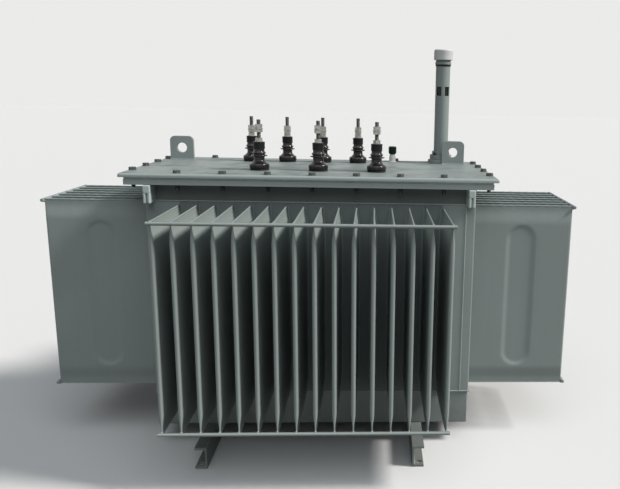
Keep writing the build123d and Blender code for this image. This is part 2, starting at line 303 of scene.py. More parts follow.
def tube(path, radius, sides=8, ripple=0.0, ripple_length=5 * MM):
    """Round bar along a path. Its radius swells by a sine of the distance, as a weld's does."""
    path = np.asarray(path, float)
    along = np.gradient(path, axis=0)
    along /= np.linalg.norm(along, axis=1)[:, None]
    side = np.cross(along, (0.0, 0.0, 1.0))
    flat = np.linalg.norm(side, axis=1) < 0.1
    side[flat] = np.cross(along[flat], (0.0, 1.0, 0.0))
    side /= np.linalg.norm(side, axis=1)[:, None]
    rise = np.cross(side, along)
    steps = np.linalg.norm(np.diff(path, axis=0), axis=1)
    distance = np.concatenate([[0.0], np.cumsum(steps)])
    size = radius * (1 + ripple * np.sin(distance / ripple_length * TURN))
    angle = round_angles(sides)
    ring = side[:, None] * np.cos(angle)[:, None] + rise[:, None] * np.sin(angle)[:, None]
    shell = Shell()
    shell.grid((path[:, None] + ring * size[:, None, None])[:, ::-1], ring=True, capped=True)
    return shell


def line(start, end, step):
    """Points on a straight line, about a step apart."""
    start, end = np.asarray(start, float), np.asarray(end, float)
    count = max(2, int(round(np.linalg.norm(end - start) / step)) + 1)
    return start + (end - start) * np.linspace(0, 1, count)[:, None]


def hexagon(width, angle):
    """Distance from a hexagon's middle to its side at an angle: half its width over the cosine
    of the angle from the nearest flat's middle."""
    from_flat = np.mod(angle + math.pi / 6, math.pi / 3) - math.pi / 6
    return width / 2 / np.cos(from_flat)


def nut(width, height, chamfered_below=True, columns=36):
    """Hexagon nut or bolt head standing on z = 0, its corners cut by a 30 degree cone."""
    side = hexagon(width, round_angles(columns))
    flat = width / 2 * 0.96
    drop = (side - flat) * math.tan(math.radians(30))
    low = drop if chamfered_below else np.zeros(columns)
    reach = np.stack([np.full(columns, flat), side, side, np.full(columns, flat)])
    level = np.stack([np.zeros(columns), low, height - drop, np.full(columns, height)])
    return revolved(reach, level)


def washer(diameter, height):
    """Flat washer with softened rims, standing on z = 0."""
    return turned(rounded_disc(diameter / 2, 0, height, height * 0.3, 3), segments=36)


def threaded(diameter, bottom, top, pitch, depth, columns=20):
    """Threaded bar: the radius falls from crest to root as a triangle wave of height less turn."""
    rows = int((top - bottom) / pitch * 4) + 1
    level = np.linspace(bottom, top, rows)[:, None]
    phase = np.mod(level / pitch - round_angles(columns) / TURN, 1.0)
    wave = np.abs(2 * phase - 1)
    ends = np.minimum(level - bottom, top - level) / (1.5 * depth)
    point = np.clip(1 - ends, 0, 1)
    return revolved(diameter / 2 - depth * np.maximum(wave, point), level)


def block(low, high):
    """Closed box between two corners."""
    (x0, y0, z0), (x1, y1, z1) = low, high
    ring = [(x0, y0), (x1, y0), (x1, y1), (x0, y1)]
    shell = Shell()
    shell.grid(np.array([[(x, y, z) for x, y in ring] for z in (z0, z1)]), ring=True, capped=True)
    return shell


def rolled_plate(low, high, corner, roll):
    """Plate with a rolled upper edge, inside the box of two corners.

    Its outline is a rectangle with quarter-circle corners. Each row is that outline drawn in by
    roll (1 - cos t) and raised by roll sin t, for t from 0 to a right angle.
    """
    t = np.linspace(0, math.pi / 2, 8)
    inset = np.concatenate([[0.0], roll * (1 - np.cos(t)), [roll + 2 * MM]])[:, None]
    level = np.concatenate([[low[2]], high[2] - roll + roll * np.sin(t), [high[2]]])[:, None]
    radius = np.maximum(corner - inset, 0.3 * MM)
    turn = (np.arange(4)[:, None] * math.pi / 2 + np.linspace(-math.pi / 2, 0, 7)).ravel()
    side_x = np.repeat([1, 1, -1, -1], 7)
    side_y = np.repeat([-1, 1, 1, -1], 7)
    half = (np.asarray(high) - np.asarray(low)) / 2
    middle = (np.asarray(high) + np.asarray(low)) / 2
    x = middle[0] + side_x * (half[0] - inset - radius) + radius * np.cos(turn)
    y = middle[1] + side_y * (half[1] - inset - radius) + radius * np.sin(turn)
    shell = Shell()
    shell.grid(np.stack([x, y, np.broadcast_to(level, x.shape)], axis=-1), ring=True, capped=True)
    return shell


def rounded(piece, width, segments):
    """Bevel modifier that rounds a piece's edges."""
    bevel = piece.modifiers.new("Rounded edges", "BEVEL")
    bevel.width = width
    bevel.segments = segments
    bevel.limit_method = "ANGLE"
    bevel.harden_normals = True
    return bevel


def softened(node, width, coat):
    """Copy of a node with its flats joined again and its edges rounded by a Bevel modifier."""
    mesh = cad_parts[node].data.copy()
    mesh.materials.clear()
    work = bmesh.new()
    work.from_mesh(mesh)
    bmesh.ops.remove_doubles(work, verts=work.verts, dist=1e-6)
    bmesh.ops.dissolve_limit(
        work, angle_limit=math.radians(1), verts=work.verts, edges=work.edges)
    work.to_mesh(mesh)
    work.free()
    for attribute in ("custom_normal", "sharp_edge", "sharp_face"):
        if attribute in mesh.attributes:
            mesh.attributes.remove(mesh.attributes[attribute])
    bevel = rounded(finish_piece(mesh, f"{node}_finished", coat, (node,), 32.0), width, 2)
    bevel.angle_limit = math.radians(40)


# Finishes

class Wire:
    """Shader socket that Python's own operators join to others with Math nodes."""

    def __init__(self, board, socket):
        self.board = board
        self.socket = socket

    def __add__(self, other):
        return self.board.math("ADD", self, other)

    __radd__ = __add__

    def __sub__(self, other):
        return self.board.math("SUBTRACT", self, other)

    def __rsub__(self, other):
        return self.board.math("SUBTRACT", other, self)

    def __mul__(self, other):
        return self.board.math("MULTIPLY", self, other)

    __rmul__ = __mul__

    def clamped(self):
        return self.board.math("ADD", self, 0.0, clamp=True)


class Board:
    """Node tree of a finish or of the world."""

    def __init__(self, tree):
        self.tree = tree

    def feed(self, socket, value):
        """Link a wire to a socket, or set the socket's own value."""
        if isinstance(value, Wire):
            self.tree.links.new(value.socket, socket)
        else:
            socket.default_value = value

    def node(self, kind, settings=None, inputs=None, output=0):
        """Add any node: its settings first, then its sockets, and one of its outputs comes back."""
        node = self.tree.nodes.new(kind)
        for key, value in (settings or {}).items():
            setattr(node, key, value)
        for key, value in (inputs or {}).items():
            self.feed(node.inputs[key], value)
        return Wire(self, node.outputs[output])

    def math(self, operation, first, second, clamp=False):
        """Math node of two values."""
        settings = {"operation": operation, "use_clamp": clamp}
        return self.node("ShaderNodeMath", settings, {0: first, 1: second})

    def place(self):
        """Place on the object, in metres."""
        return self.node("ShaderNodeTexCoord", output="Object")

    def noise(self, scale, detail=2.0, stretch=(1, 1, 1), roughness=0.5):
        """Soft noise from 0 to 1 about a middle of 0.5, with so many cells to the metre."""
        place = self.node("ShaderNodeMapping", inputs={"Vector": self.place(), "Scale": stretch})
        inputs = {"Vector": place, "Scale": scale, "Detail": detail, "Roughness": roughness}
        return self.node("ShaderNodeTexNoise", inputs=inputs, output="Fac")

    def steps(self, value, low, high):
        """0 under the low value, 1 over the high one, and a smooth slope between."""
        settings = {"interpolation_type": "SMOOTHSTEP"}
        inputs = {"Value": value, "From Min": low, "From Max": high}
        return self.node("ShaderNodeMapRange", settings, inputs)

    def mix(self, factor, first, second, blend="MIX"):
        """Mix of two colours."""
        settings = {"data_type": "RGBA", "blend_type": blend}
        inputs = {0: factor, 6: first, 7: second}
        return self.node("ShaderNodeMix", settings, inputs, output=2)

    def tinted(self, colour, factor):
        """Colour made lighter or darker by a factor about 1."""
        inputs = dict.fromkeys(("Red", "Green", "Blue"), factor)
        grey = self.node("ShaderNodeCombineColor", inputs=inputs)
        return self.mix(1.0, colour, grey, "MULTIPLY")

    def facing_up(self):
        """How far the surface faces upwards, from -1 to 1."""
        normal = self.node("ShaderNodeNewGeometry", output="Normal")
        return self.node("ShaderNodeSeparateXYZ", inputs={"Vector": normal}, output="Z")

    def height(self):
        """Height above the ground, in metres."""
        return self.node("ShaderNodeSeparateXYZ", inputs={"Vector": self.place()}, output="Z")


class Finish(Board):
    """New material with its node tree."""

    def __init__(self, name):
        self.material = bpy.data.materials.new(name)
        self.material.use_nodes = True
        super().__init__(self.material.node_tree)
        self.shader = self.tree.nodes["Principled BSDF"]

    def bump(self, height, distance, strength=1.0):
        """Bump from a height map, fed to the shader's normal."""
        inputs = {"Height": height, "Distance": distance, "Strength": strength}
        self.feed(self.shader.inputs["Normal"], self.node("ShaderNodeBump", inputs=inputs))

    def shine(self, **inputs):
        """Set or link the shader's sockets by name, with underscores for spaces."""
        for key, value in inputs.items():
            self.feed(self.shader.inputs[key.replace("_", " ")], value)
        return self.material


def rgba(colour):
    """Colour with full alpha."""
    return (*colour, 1.0)


# Factors on the paint's colour, one for each copy of the paint. Below 1 is painted shade: the
# collar under the cover's overhang and the sheet between the fins. Above 1 is painted light: the
# cover plate, the rim with the welds and the filler flange that share its paint, the gasket line
# and the lifting hooks.
PAINT_SHADES = {
    "grey_paint": 1.0, "collar_shade_paint": 0.48, "gap_shade_paint": 0.70, "cover_light_paint": 1.12,
    "rim_light_paint": 1.20, "seal_light_paint": 1.75, "hook_light_paint": 1.75,
}


def painted_steel(name):
    """Semi-gloss grey enamel: slow changes of tone, faint runs down the sides, dust on top and
    dirt near the ground."""
    colours = settings("finish")
    board = Finish(name)
    tone = board.noise(2.6, 3) * 0.10 + board.noise(38, 2) * 0.05
    runs = board.noise(1.0, 3, stretch=(42, 42, 2.2)) * 0.07
    # The factor paints shade or light into this copy of the paint.
    paint = board.tinted(rgba(colours.paint), (tone + runs + 0.89) * PAINT_SHADES[name])
    up = board.facing_up()
    patches = board.steps(board.noise(7, 5, roughness=0.62), 0.42, 0.68)
    specks = board.steps(board.noise(120, 3), 0.60, 0.72)
    lying = board.steps(up, 0.80, 0.98)
    dusty = board.mix(lying * (patches * 0.26 + specks * 0.14 + 0.56), paint, rgba(colours.dust))
    low = 1 - board.steps(board.height(), 0.0, 0.22)
    splash = low * board.steps(board.noise(16, 4), 0.40, 0.75)
    soiled = board.mix(splash * 0.45 + low * 0.30, dusty, rgba(colours.soil))
    rough = board.noise(5, 3) * 0.14 + lying * patches * 0.22 + 0.40
    peel = board.noise(420, 1) * 0.25 + board.noise(9, 2)
    board.bump(peel, 0.6 * MM, 0.35)
    return board.shine(Base_Color=soiled, Roughness=rough.clamped(), Specular_IOR_Level=0.16)


def porcelain():
    """Dark brown glaze over porcelain: pooled colour, a glassy coat and slow ripples."""
    colours = settings("finish")
    board = Finish("glazed_porcelain")
    pooled = board.steps(board.noise(55, 3), 0.35, 0.70)
    tint = board.mix(pooled, rgba(colours.glaze), (0.019, 0.0125, 0.0145, 1))
    board.bump(board.noise(70, 2), 0.5 * MM, 0.25)
    rough = board.noise(90, 2) * 0.12 + 0.14
    return board.shine(
        Base_Color=tint, Roughness=rough, Specular_IOR_Level=0.35, Coat_Weight=0.12,
        Coat_Roughness=0.06)


def bolt_steel(name, base, roughness, metallic):
    """Steel of nuts and bolts, dull in patches where its plating or oil has worn."""
    board = Finish(name)
    worn = board.steps(board.noise(160, 4), 0.38, 0.70)
    colour = board.tinted(rgba(base), 1 - worn * 0.35)
    board.bump(board.noise(600, 2), 0.15 * MM, 0.3)
    rough = worn * 0.20 + roughness
    return board.shine(Base_Color=colour, Roughness=rough, Metallic=metallic)


def moulding(name, colour, roughness, mottle=0.12):
    """Moulded plastic or rubber: slight mottling, fine grain and a little dust on top."""
    colours = settings("finish")
    board = Finish(name)
    tint = board.tinted(rgba(colour), board.noise(80, 3) * mottle + (1 - mottle / 2))
    lying = board.steps(board.facing_up(), 0.6, 1.0) * board.steps(board.noise(60, 4), 0.45, 0.7)
    dusty = board.mix(lying * 0.10, tint, rgba(colours.dust))
    board.bump(board.noise(900, 1), 0.1 * MM, 0.35)
    rough = board.noise(40, 2) * 0.10 + (roughness - 0.05)
    return board.shine(Base_Color=dusty, Roughness=rough, Specular_IOR_Level=0.15)


def level_glass():
    """Dark sight glass with oil behind it, lighter near its upper end."""
    board = Finish("oily_glass")
    film = board.steps(board.noise(50, 3), 0.4, 0.7)
    tint = board.mix(film * 0.6, (0.006, 0.007, 0.008, 1), (0.016, 0.017, 0.017, 1))
    rough = film * 0.10 + 0.05
    return board.shine(Base_Color=tint, Roughness=rough, Specular_IOR_Level=0.25)


MAKERS = {
    "glazed_porcelain": porcelain,
    "zinc_plate": lambda: bolt_steel("zinc_plate", settings("finish").plating, 0.28, 1.0),
    "bare_thread": lambda: bolt_steel("bare_thread", (0.085, 0.088, 0.078), 0.42, 0.85),
    "dull_bolt": lambda: bolt_steel("dull_bolt", (0.105, 0.118, 0.112), 0.50, 0.4),
    "black_bolt": lambda: bolt_steel("black_bolt", (0.020, 0.021, 0.021), 0.45, 0.2),
    "gasket_rubber": lambda: moulding("gasket_rubber", (0.018, 0.018, 0.018), 0.62),
    "cap_moulding": lambda: moulding("cap_moulding", (0.012, 0.013, 0.013), 0.38),
    "knob_moulding": lambda: moulding("knob_moulding", (0.008, 0.020, 0.017), 0.35),
    "white_moulding": lambda: moulding("white_moulding", settings("finish").white, 0.42, 0.06),
    "oily_glass": level_glass,
}


SLOTS = {
    "glazed_porcelain": "brown_glaze",
    "zinc_plate": "stud_metal",
    "bare_thread": "stud_metal",
    "dull_bolt": "stud_metal",
    "black_bolt": "stud_metal",
    "gasket_rubber": "black_rubber",
    "cap_moulding": "black_cap",
    "knob_moulding": "black_cap",
    "white_moulding": "white_plastic",
}


def finish(name):
    """A finish by name, made the first time it is asked for. No finish has the name of a slot,
    because the frame's own plain materials have those."""
    if name in bpy.data.materials:
        return bpy.data.materials[name]
    return painted_steel(name) if name in PAINT_SHADES else MAKERS[name]()


# Finned walls

WALLS = {"front": (0, -1), "back": (0, 1), "left": (-1, 0), "right": (1, 0)}


def wall_frame(name):
    """Middle of the sheet's face, its level directions, fin depth, heights, width and fin count."""
    fins = settings("fins")
    out = np.array((*WALLS[name], 0.0))
    aside = np.array((out[1], -out[0], 0.0))
    low, high = node_box(f"{name}_finned_wall")
    bars_low, bars_high = node_box(f"{name}_tie_bars")
    middle = (low + high) / 2
    reach = np.abs((high - low) @ np.abs(out))
    width = np.abs((high - low) @ np.abs(aside))
    face = middle - out * (reach / 2 - fins.sheet)
    face[2] = 0.0
    bar_length = np.abs((bars_high - bars_low) @ np.abs(aside))
    count = int((bar_length - fins.thickness) / fins.pitch) + 1
    return {
        "face": face, "out": out, "aside": aside, "depth": reach - fins.sheet, "width": width,
        "bottom": low[2], "top": high[2] - fins.margin, "sheet_top": high[2], "count": count,
    }


def half_thickness(level, bottom, top):
    """Half a fin's thickness at a height: thin in the end bands, then a smooth step to full."""
    fins = settings("fins")
    from_end = np.minimum(level - bottom, top - level)
    swell = smoothstep((from_end - fins.band) / fins.flare)
    return (fins.pinch + (fins.thickness - fins.pinch) * swell) / 2


def fin_levels(bottom, top, middle_rows):
    """Heights of a fin's rows: few in the flat bands, more where it swells."""
    fins = settings("fins")
    band, flare = fins.band, fins.band + fins.flare
    low = bottom + np.concatenate([[0.0], np.linspace(band, flare, 13)])
    return np.concatenate([low, np.linspace(low[-1], top + bottom - low[-1], middle_rows)[1:-1],
                           (top + bottom - low)[::-1]])


def fin_surface(depth, bottom, top, dents=(0, 0)):
    """One pressed fin, standing on x = 0 and out along y.

    A row runs from the fold at the wall along one side, round a half-circle nose of the row's own
    half thickness, and back. dents says which sides carry the pressed panel: there the side sinks
    by a smooth step of the distance to the edge of an upright shape with half-round ends.
    """
    fins = settings("fins")
    dented = any(dents)
    level = fin_levels(bottom, top, 110 if dented else 5)[:, None]
    half = half_thickness(level, bottom, top)
    fold_angle = np.linspace(0, math.pi / 2, 5)
    along = np.linspace(0, 1, 64 if dented else 6)[1:-1]
    nose_angle = np.linspace(0, math.pi, 13)
    fold_x = half + fins.fold * (1 - np.sin(fold_angle))
    fold_y = np.broadcast_to(fins.fold * (1 - np.cos(fold_angle)), fold_x.shape)
    side_y = fins.fold + along * (depth - half - fins.fold)
    side_x = np.broadcast_to(half, side_y.shape)
    nose_x = half * np.cos(nose_angle)
    nose_y = depth - half + half * np.sin(nose_angle)
    middle = (top + bottom) / 2
    radius = fins.emboss_width / 2
    straight = fins.emboss_height / 2 - radius
    beyond = np.maximum(np.abs(level - middle) - straight, 0)
    from_edge = radius - np.hypot(beyond, side_y - depth / 2)
    dent = fins.emboss_depth * smoothstep(from_edge / fins.emboss_flank)
    right = side_x - dents[0] * dent
    left = -side_x + dents[1] * dent
    x = np.concatenate([fold_x, right, nose_x, left[:, ::-1], -fold_x[:, ::-1]], axis=1)
    y = np.concatenate([fold_y, side_y, nose_y, side_y[:, ::-1], fold_y[:, ::-1]], axis=1)
    shell = Shell()
    shell.grid(np.stack([x, y, np.broadcast_to(level, x.shape)], axis=-1), ring=True, capped=True)
    return shell


def fin_welds(depth, bottom, top):
    """Beads along the two pinched ends of a fin."""
    fins = settings("fins")
    shell = Shell()
    for level in (bottom + fins.bead * 0.4, top - fins.bead * 0.4):
        ends = (0, -fins.bead, level), (0, depth - fins.bead, level)
        shell.bead(*ends, fins.bead, 7 * MM, 0.10, 28 * MM)
    return shell


def wall_piece(name):
    """Wall sheet with its row of pressed fins and their end welds."""
    wall = wall_frame(name)
    fins = settings("fins")
    angle = math.atan2(wall["out"][1], wall["out"][0]) - math.pi / 2
    shell = Shell()
    places = [
        wall["face"] - wall["aside"] * (i - (wall["count"] - 1) / 2) * fins.pitch
        for i in range(wall["count"])
    ]
    span = (wall["depth"], wall["bottom"], wall["top"])
    plain = fin_surface(*span)
    welds = fin_welds(*span)
    embossed = name in ("left", "right")
    inner = places[1:-1] if embossed else places
    shell.copies(plain, inner, [angle] * len(inner))
    if embossed:
        shell.copies(fin_surface(*span, dents=(0, 1)), places[-1:], [angle])
        shell.copies(fin_surface(*span, dents=(1, 0)), places[:1], [angle])
    shell.copies(welds, places, [angle] * len(places))
    half = np.abs(wall["aside"]) * wall["width"] / 2
    back = wall["face"] - wall["out"] * fins.sheet
    corners = np.array([wall["face"] - half, wall["face"] + half, back - half, back + half])
    low, high = corners.min(axis=0), corners.max(axis=0)
    low[2], high[2] = wall["bottom"], wall["sheet_top"]
    spread = np.abs(wall["aside"]) * (wall["count"] - 1) / 2 * fins.pitch
    middle = (low + high) / 2
    inner_low = np.where(spread > 0, middle - spread, low)
    inner_high = np.where(spread > 0, middle + spread, high)
    # Painted shade: the sheet between the fins takes a darkened copy of the paint, for the shade
    # that falls there.
    block(inner_low, inner_high).piece(f"{name}_wall_between_fins", "gap_shade_paint")
    sheet = block(low, np.where(spread > 0, inner_low, high))
    sheet.copies(block(np.where(spread > 0, inner_high, low), high))
    sheet.piece(f"{name}_wall_margins", "grey_paint")
    return shell.piece(
        f"{name}_pressed_fins", "grey_paint", (f"{name}_finned_wall",), 40.0)


def tie_bar_pieces(name):
    """Two round bars with sawn ends, tacked to every fin by a small weld on each side."""
    wall = wall_frame(name)
    fins = settings("fins")
    low, high = node_box(f"{name}_tie_bars")
    radius = fins.bar / 2
    aside = np.abs(wall["aside"])
    centre = (low + high) / 2
    half = aside * ((high - low) @ aside) / 2
    edge = 0.8 * MM
    bars = Shell()
    tacks = Shell()
    rise = np.array((0.0, 0.0, 1.0))
    dab = turned([(0.3 * MM, -3.4 * MM), (2.6 * MM, -2.4 * MM), (3.4 * MM, 0), (2.6 * MM, 2.4 * MM),
                  (0.3 * MM, 3.4 * MM)], segments=10)
    for level in (low[2] + radius, high[2] - radius):
        middle = np.array((centre[0], centre[1], level))
        cut = aside * edge
        ends = [middle - half, middle - half + cut, middle + half - cut, middle + half]
        ring = tube(np.array(ends), radius, 32)
        points = ring.points[0].reshape(4, 32, 3)
        for row in (0, -1):
            points[row] = ends[row] + (points[row] - ends[row]) * (1 - edge / radius)
        bars.copies(ring)
        for i in range(wall["count"]):
            offset = (i - (wall["count"] - 1) / 2) * fins.pitch
            touch = middle + aside * offset - wall["out"] * radius * 0.75
            for sign in (-1, 1):
                lean = 0.6 * MM * math.sin(7.0 * i + sign)
                tacks.copies(dab, [touch + rise * sign * radius * 0.72 + aside * lean])
    bars.piece(f"{name}_round_bars", "grey_paint", (f"{name}_tie_bars",))
    tacks.piece(f"{name}_bar_tacks", "grey_paint", smooth=80.0)


def make_finned_walls():
    """Make the four walls of pressed fins and their tie bars."""
    for name in WALLS:
        wall_piece(name)
        tie_bar_pieces(name)


# Tank box, cover and welds

POSTS = [f"{y}_{x}_corner_post" for y in ("front", "back") for x in ("left", "right")]
EARS = [f"{y}_{x}_lifting_ear" for y in ("front", "back") for x in ("left", "right")]


def seam_welds():
    """Weld beads round the tank under the collar, over the base and down the corner posts."""
    low, high = node_box("tank_collar")
    x, y = high[0], high[1]
    base_top = node_box("tank_base")[1][2]
    shell = Shell()
    for level in (low[2], base_top):
        shell.beads_round((-x, -y), (x, y), level, 2.2 * MM, 4 * MM, 0.12, 17 * MM)
    for name in POSTS:
        low, high = node_box(name)
        outer = np.where(np.abs(low) > np.abs(high), low, high)
        inner = np.where(np.abs(low) < np.abs(high), low, high)
        for x, y in ((inner[0], outer[1]), (outer[0], inner[1])):
            foot, head = (x, y, low[2]), (x, y, high[2])
            shell.bead(foot, head, 1.8 * MM, 4 * MM, 0.12, 15 * MM)
    # Painted light: the seam welds take the rim's lightened paint, as bright lines along the seams.
    return shell.piece("tank_seam_welds", "rim_light_paint", smooth=80.0)


def squeeze(piece, spread):
    """Rubber pressed out along the long sides of a joint, as far as the steel's own edge: the
    points furthest from the middle in y move outwards."""
    mesh = piece.data
    points = np.empty(len(mesh.vertices) * 3, dtype=np.float32)
    mesh.vertices.foreach_get("co", points)
    points = points.reshape(-1, 3)
    outer = np.abs(points[:, 1]) > np.abs(points[:, 1]).max() - MM
    points[outer, 1] += np.sign(points[outer, 1]) * spread
    mesh.vertices.foreach_set("co", points.ravel())
    mesh.update()


def hook(name):
    """Lifting hook: a rounded head across the whole ear, over two legs with a groove between."""
    low, high = node_box(name)
    leg = (high[0] - low[0]) * 0.40
    shell = Shell()
    for x in (low[0], high[0] - leg):
        shell.copies(block((x, low[1], low[2]), (x + leg, high[1], high[2] - 16 * MM)))
    inner = (high[1] - low[1]) * 0.15
    middle = block(
        (low[0] + leg * 0.8, low[1] + inner, low[2] + MM),
        (high[0] - leg * 0.8, high[1] - inner, high[2] - MM))
    shell.copies(middle)
    shell.copies(block((low[0], low[1], high[2] - 24 * MM), tuple(high)))
    # Painted light: the hooks take a lightened copy of the paint, for the light on their heads
    # under the cover's edge.
    rounded(shell.piece(f"{name}_hook", "hook_light_paint", (name,)), 3.4 * MM, 4)


def fitting_welds():
    """Beads at the feet of the cover lugs and where the ears meet the collar."""
    shell = Shell()
    for name in ("left_cover_lug", "right_cover_lug"):
        low, high = node_box(name)
        shell.beads_round(low, high, low[2] + 0.6 * MM, 2.6 * MM, 3 * MM, 0.15, 13 * MM)
    collar = node_box("tank_collar")[1][1]
    for name in EARS:
        low, high = node_box(name)
        y = math.copysign(collar, low[1])
        for x in (low[0], high[0]):
            shell.bead((x, y, low[2] + MM), (x, y, high[2] - MM), 2.4 * MM, 3 * MM, 0.15, 13 * MM)
    tank = node_box("tank_base")[1][1]
    for name in ("left_skid", "right_skid"):
        low, high = node_box(name)
        for x in (low[0], high[0]):
            shell.bead((x, -tank, high[2]), (x, tank, high[2]), 2.6 * MM, 5 * MM, 0.15, 21 * MM)
    return shell.piece("fitting_welds", "grey_paint", smooth=80.0)


def make_tank():
    """Paint the tank box, posts, rim, cover, lugs and skids, and add their welds."""
    edges = {
        "tank_base": 3.0, "tank_collar": 1.0, "rim_flange": 1.5, "cover_gasket": 1.2,
        "left_skid": 1.2, "right_skid": 1.2, "left_cover_lug": 1.6, "right_cover_lug": 1.6,
    }
    edges.update({name: 1.0 for name in POSTS})
    # Painted shade on the collar under the cover's overhang; painted light on the rim and the
    # gasket, which lie in its shadow.
    coats = {
        "tank_collar": "collar_shade_paint", "rim_flange": "rim_light_paint", "cover_gasket": "seal_light_paint"}
    for name, width in edges.items():
        softened(name, width * MM, coats.get(name, "grey_paint"))
    # Painted light: the cover plate takes a lightened copy of the paint, for the light on its
    # rolled edge.
    plate = rolled_plate(*node_box("cover_plate"), 6 * MM, 8 * MM)
    plate.piece("cover_rolled_plate", "cover_light_paint", ("cover_plate",))
    gasket = bpy.data.objects["cover_gasket_finished"]
    squeeze(gasket, node_box("rim_flange")[1][1] - node_box("cover_gasket")[1][1])
    for name in EARS:
        hook(name)
    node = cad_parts["tank_body"]
    node.data.materials.clear()
    node.data.materials.append(finish("grey_paint"))
    seam_welds()
    fitting_welds()


# Cover bolts

def bolt_places():
    """Places of the cover bolts: a row along each long side and a shorter one on each end."""
    sizes = settings("fasteners")
    high = node_box("cover_plate")[1]
    x_edge = high[0] - sizes.edge
    y_edge = high[1] - sizes.edge
    long_side = (np.arange(sizes.front_count) - (sizes.front_count - 1) / 2) * sizes.front_spacing
    end = (np.arange(sizes.end_count) - (sizes.end_count - 1) / 2) * sizes.end_spacing
    flats = [(x, y) for y in (-y_edge, y_edge) for x in long_side]
    return flats + [(x, y) for x in (-x_edge, x_edge) for y in end]


def make_cover_bolts():
    """Make the bolts that hold the cover, with their washers and their ends below the rim."""
    sizes = settings("fasteners")
    top = node_box("cover_plate")[1][2]
    under = node_box("rim_flange")[0][2]
    places = bolt_places()
    turns = [1.7 * i for i in range(len(places))]
    heads = Shell()
    thickness = 1.6 * MM
    heads.copies(washer(22 * MM, thickness), [(x, y, top) for x, y in places])
    head = nut(sizes.head_width, sizes.head_height, chamfered_below=False)
    heads.copies(head, [(x, y, top + thickness) for x, y in places], turns)
    heads.piece("cover_bolt_heads", "dull_bolt", smooth=25.0)
    tail = threaded(sizes.bolt, -sizes.tail, 0.0, sizes.thread_pitch, sizes.thread_depth)
    below = tail.row([(x, y, under) for x, y in places], turns)
    below.piece("cover_bolt_ends", "black_bolt", smooth=50.0)


# Bushings

BUSHING_COUNTS = {"front": 3, "back": 4}
CLAMP_LEVELS = {"front": 28 * MM, "back": 12.2 * MM}
PLATE_WASHER = 2.4 * MM


def bushing_row(name):
    """Centres of one row of bushings, with the lowest and highest level of its insulators."""
    sizes = settings("bushings")
    low, high = node_box(f"{name}_insulators")
    y = (low[1] + high[1]) / 2
    xs = np.linspace(low[0] + sizes.foot / 2, high[0] - sizes.foot / 2, BUSHING_COUNTS[name])
    return [(x, y) for x in xs], low[2], high[2]


def porcelain_profile(height):
    """Outline of one insulator: drum foot, domed shoulder, neck, thin shed, ring and upper neck."""
    sizes = settings("bushings")
    foot, neck = sizes.foot / 2, sizes.neck / 2
    shed, ring = sizes.shed / 2, sizes.ring / 2
    base = sizes.gasket
    shoulder = 20 * MM
    return np.concatenate([
        [(foot - 4 * MM, base)],
        arc((foot - 4 * MM, base + 4 * MM), 4 * MM, -80, 0, 5),
        arc((foot - 5 * MM, shoulder - 5 * MM), 5 * MM, 0, 55, 5),
        [(foot - 7.5 * MM, shoulder + 2.0 * MM), (foot - 10.5 * MM, shoulder + 5.5 * MM)],
        arc((neck + 4 * MM, 30.5 * MM), 4 * MM, 220, 180, 4),
        [(neck, 38 * MM)],
        arc((neck + 2 * MM, 38 * MM), 2 * MM, 180, 100, 4),
        arc((shed - 1.5 * MM, 42.5 * MM), 1.5 * MM, -60, 90, 7),
        [(neck + 3 * MM, 44.6 * MM), (neck + 1.2 * MM, 45.6 * MM), (neck + 1.2 * MM, 47 * MM)],
        arc((ring - 2.6 * MM, 50.4 * MM), 2.6 * MM, -60, 80, 7),
        [(neck + 1.2 * MM, 54.0 * MM), (neck, 56 * MM), (neck, height)],
    ])


def cap_profile(height):
    """Outline of the black cap: straight sides and a thin lip round its top."""
    sizes = settings("bushings")
    radius = sizes.cap / 2
    return np.concatenate([
        [(radius - 1.5 * MM, 0), (radius - 0.6 * MM, 0.6 * MM)],
        [(radius - 0.6 * MM, height - 3.4 * MM)],
        arc((radius - 1.0 * MM, height - 1.4 * MM), 1.0 * MM, -60, 90, 6),
        [(radius - 5 * MM, height - 0.8 * MM)],
    ])


